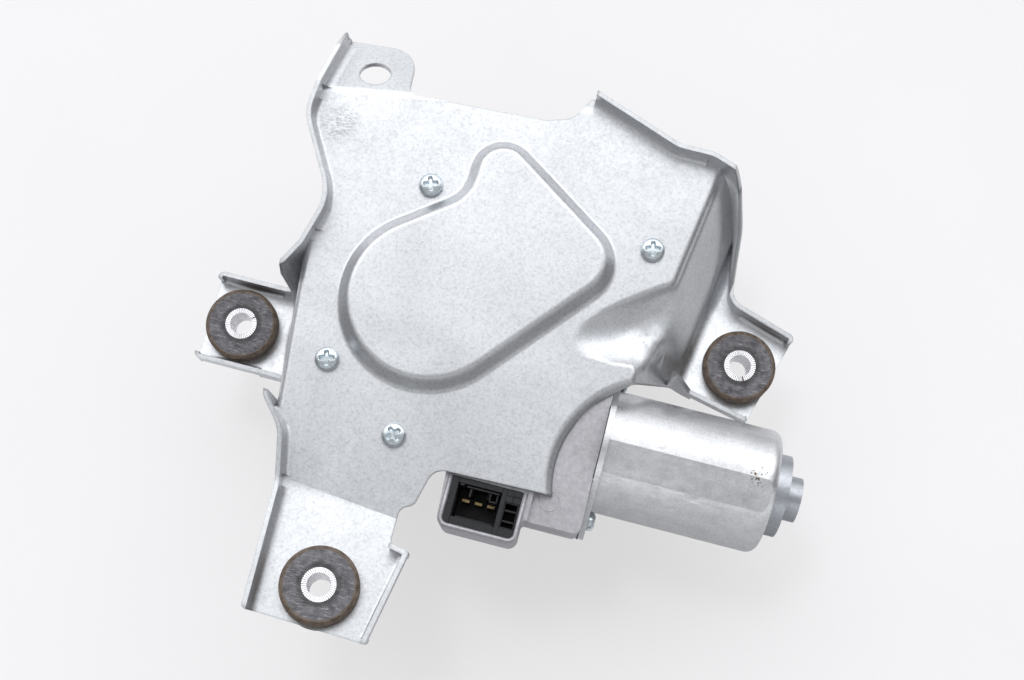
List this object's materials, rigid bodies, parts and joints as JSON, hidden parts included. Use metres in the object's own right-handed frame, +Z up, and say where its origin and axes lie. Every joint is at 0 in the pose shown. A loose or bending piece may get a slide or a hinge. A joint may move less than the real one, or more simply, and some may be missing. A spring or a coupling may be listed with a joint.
{
  "type": "wiper motor",
  "caption": "Geared electric motor on a pressed steel bracket, with rubber mounting grommets and a sweeping output shaft.",
  "frame": {"origin": "on the output shaft's axis, where the threaded stud begins", "axes": "+Z up, from the threaded stud towards the bracket plate; +X along the motor, away from the gears"},
  "size_m": [0.1948, 0.1827, 0.0879],
  "materials": {
    "zinc_sheet": "zinc plated sheet, fine grey speckle",
    "cast_aluminium": "die cast, fine matt skin",
    "gasket_rubber": "matt",
    "yoke_steel": "satin plated, drawn",
    "ferrite": "matt sintered",
    "bronze": "oiled sintered bronze",
    "nylon": "natural moulded plastic",
    "black_plastic": "moulded",
    "carbon": "pressed carbon",
    "spring_steel": "bright wire",
    "steel": "ground",
    "brass": "bright",
    "seal_rubber": "smooth",
    "zinc_screw": "bluish zinc plating",
    "grommet_rubber": "worn, dusty",
    "sleeve_steel": "bright rolled steel",
    "core_iron": "stacked laminations",
    "copper": "enamelled wire"
  },
  "bodies": {
    "frame": {"bracket_plate": "zinc_sheet", "gear_housing": "cast_aluminium", "plug_surround": "cast_aluminium", "housing_gasket": "gasket_rubber", "motor_yoke": "yoke_steel", "motor_magnets": "ferrite", "rear_bearing": "bronze", "front_bearing": "bronze", "thrust_pad": "nylon", "brush_holder": "black_plastic", "carbon_brushes": "carbon", "brush_springs": "spring_steel", "wheel_axle": "steel", "park_contacts": "brass", "shaft_bush_lower": "bronze", "shaft_bush_upper": "bronze", "shaft_seal": "seal_rubber", "cover_screws": "zinc_screw", "yoke_screws": "zinc_screw", "connector_shell": "black_plastic", "connector_pins": "brass", "grommet_left": "grommet_rubber", "grommet_right": "grommet_rubber", "grommet_bottom": "grommet_rubber", "sleeve_left": "sleeve_steel", "sleeve_right": "sleeve_steel", "sleeve_bottom": "sleeve_steel"},
    "armature": {"armature_core": "core_iron", "armature_windings": "copper", "armature_shaft": "steel", "commutator": "copper"},
    "wheel": {"worm_wheel": "nylon", "park_disc": "brass"},
    "lever": {"rocker_lever": "steel", "sector_pivot_pin": "steel"},
    "sector": {"sector_gear": "steel", "crank_pin": "steel"},
    "output": {"output_shaft": "steel", "output_pinion": "steel", "shaft_washer": "steel", "shaft_clip": "spring_steel"}
  },
  "joints": [
    {"name": "armature_spin", "type": "hinge", "parent": "frame", "child": "armature", "pos_m": [0, -0.061, 0.043], "axis": [1, 0, 0], "continuous": true},
    {"name": "wheel_spin", "type": "hinge", "parent": "frame", "child": "wheel", "pos_m": [-0.032, -0.033, 0.043], "axis": [0, 0, 1], "continuous": true},
    {"name": "output_sweep", "type": "hinge", "parent": "frame", "child": "output", "pos_m": [0, 0, 0], "axis": [0, 0, 1], "range_deg": [0, 145]},
    {"name": "lever_swing", "type": "hinge", "parent": "frame", "child": "lever", "pos_m": [0, 0, 0.06], "axis": [0, 0, 1], "range_deg": [0, 48.99]},
    {"name": "sector_turn", "type": "hinge", "parent": "lever", "child": "sector", "pos_m": [-0.01318, 0.01761, 0.056], "axis": [0, 0, 1], "range_deg": [-44.95, 0]}
  ],
  "couplings": [
    {"joint": "wheel_spin", "follows": "armature_spin", "ratio": -0.019231},
    {"joint": "lever_swing", "follows": "output_sweep", "ratio": 0.3372},
    {"joint": "sector_turn", "follows": "output_sweep", "ratio": -0.30931}
  ]
}
